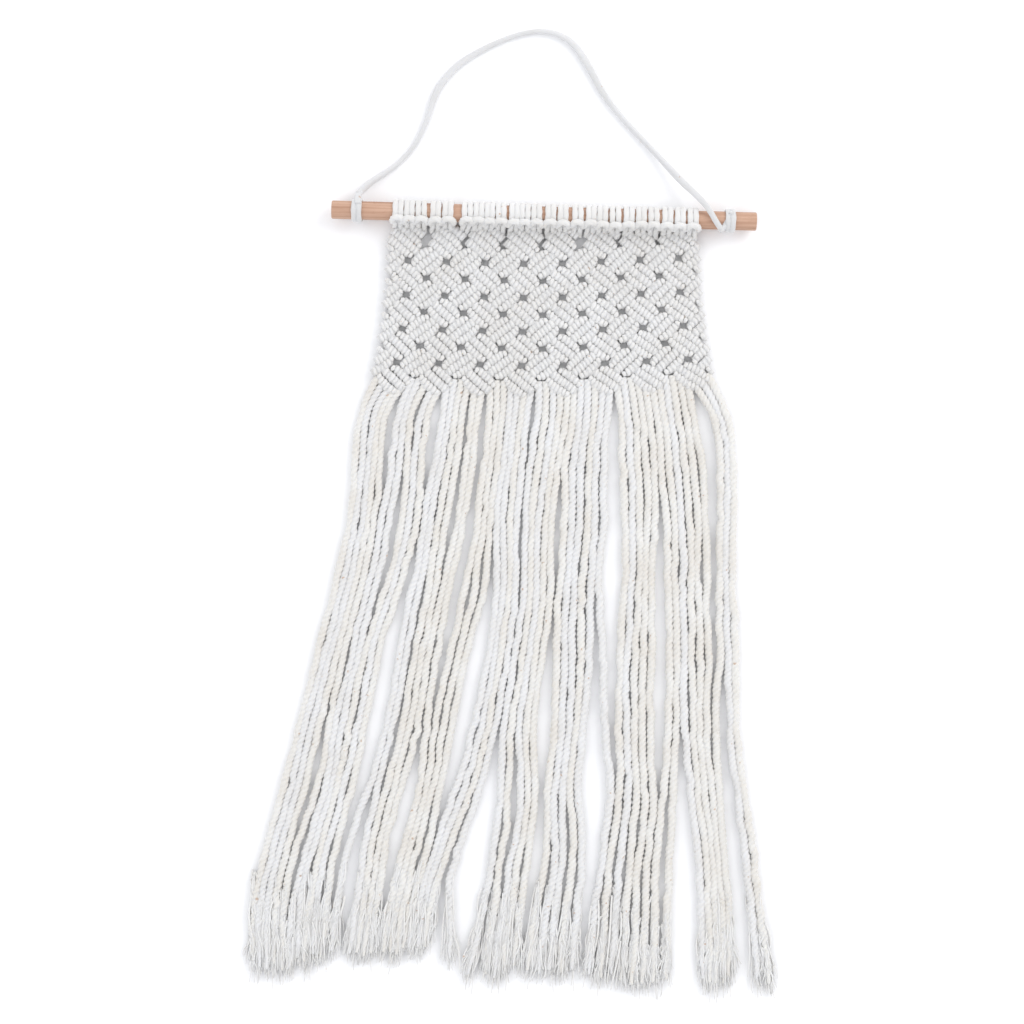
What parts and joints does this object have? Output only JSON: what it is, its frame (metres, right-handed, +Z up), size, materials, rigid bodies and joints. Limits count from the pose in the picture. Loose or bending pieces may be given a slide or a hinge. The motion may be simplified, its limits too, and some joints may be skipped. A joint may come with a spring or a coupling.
{
  "type": "tapestry wall hanging",
  "caption": "Knotted cotton wall hanging on a wooden dowel, with a lattice panel, a long fringe and a soft hanging cord, lying flat.",
  "frame": {"origin": "on the surface the hanging lies on, under the middle of the dowel and knotted panel taken together", "axes": "+X along the dowel, +Y in the panel's plane towards the hanging cord, +Z up off the surface, out of the panel's front face"},
  "size_m": [0.4347, 0.7891, 0.0249],
  "materials": {
    "wood": "plain sanded beech",
    "cotton": "natural twisted cotton cord"
  },
  "bodies": {
    "panel": {"larks_heads_1": "cotton", "larks_heads_2": "cotton", "larks_heads_3": "cotton", "larks_heads_4": "cotton", "larks_heads_5": "cotton", "larks_heads_6": "cotton", "larks_heads_7": "cotton", "larks_heads_8": "cotton", "knot_band_1": "cotton", "knot_band_2": "cotton", "knot_band_3": "cotton", "knot_band_4": "cotton", "knot_band_5": "cotton"},
    "dowel": {"dowel": "wood"},
    "hanger": {"hanger_cord": "cotton", "hanger_ring_left": "cotton", "hanger_ring_right": "cotton"},
    "fringe_1": {"fringe_cord_01": "cotton", "fringe_cord_02": "cotton", "fringe_cord_03": "cotton"},
    "fringe_2": {"fringe_cord_04": "cotton", "fringe_cord_05": "cotton", "fringe_cord_06": "cotton"},
    "fringe_3": {"fringe_cord_07": "cotton", "fringe_cord_08": "cotton", "fringe_cord_09": "cotton"},
    "fringe_4": {"fringe_cord_10": "cotton", "fringe_cord_11": "cotton", "fringe_cord_12": "cotton"},
    "fringe_5": {"fringe_cord_13": "cotton", "fringe_cord_14": "cotton", "fringe_cord_15": "cotton"},
    "fringe_6": {"fringe_cord_16": "cotton", "fringe_cord_17": "cotton", "fringe_cord_18": "cotton"},
    "fringe_7": {"fringe_cord_19": "cotton", "fringe_cord_20": "cotton", "fringe_cord_21": "cotton"},
    "fringe_8": {"fringe_cord_22": "cotton", "fringe_cord_23": "cotton", "fringe_cord_24": "cotton"}
  },
  "joints": [
    {"name": "dowel_slide", "type": "slide", "parent": "panel", "child": "dowel", "axis": [1, 0, 0], "range_m": [0, 0.022]},
    {"name": "hanger_swing", "type": "hinge", "parent": "dowel", "child": "hanger", "pos_m": [0, 0.073, 0.012], "axis": [1, 0, 0], "range_deg": [0, 150]},
    {"name": "fringe_1_swing", "type": "hinge", "parent": "panel", "child": "fringe_1", "pos_m": [-0.122, -0.087, 0.0023], "axis": [-1, 0, 0], "range_deg": [0, 90]},
    {"name": "fringe_2_swing", "type": "hinge", "parent": "panel", "child": "fringe_2", "pos_m": [-0.087, -0.087, 0.0023], "axis": [-1, 0, 0], "range_deg": [0, 90]},
    {"name": "fringe_3_swing", "type": "hinge", "parent": "panel", "child": "fringe_3", "pos_m": [-0.052, -0.087, 0.0023], "axis": [-1, 0, 0], "range_deg": [0, 90]},
    {"name": "fringe_4_swing", "type": "hinge", "parent": "panel", "child": "fringe_4", "pos_m": [-0.017, -0.087, 0.0023], "axis": [-1, 0, 0], "range_deg": [0, 90]},
    {"name": "fringe_5_swing", "type": "hinge", "parent": "panel", "child": "fringe_5", "pos_m": [0.018, -0.087, 0.0023], "axis": [-1, 0, 0], "range_deg": [0, 90]},
    {"name": "fringe_6_swing", "type": "hinge", "parent": "panel", "child": "fringe_6", "pos_m": [0.053, -0.087, 0.0023], "axis": [-1, 0, 0], "range_deg": [0, 90]},
    {"name": "fringe_7_swing", "type": "hinge", "parent": "panel", "child": "fringe_7", "pos_m": [0.088, -0.087, 0.0023], "axis": [-1, 0, 0], "range_deg": [0, 90]},
    {"name": "fringe_8_swing", "type": "hinge", "parent": "panel", "child": "fringe_8", "pos_m": [0.123, -0.087, 0.0023], "axis": [-1, 0, 0], "range_deg": [0, 90]}
  ]
}
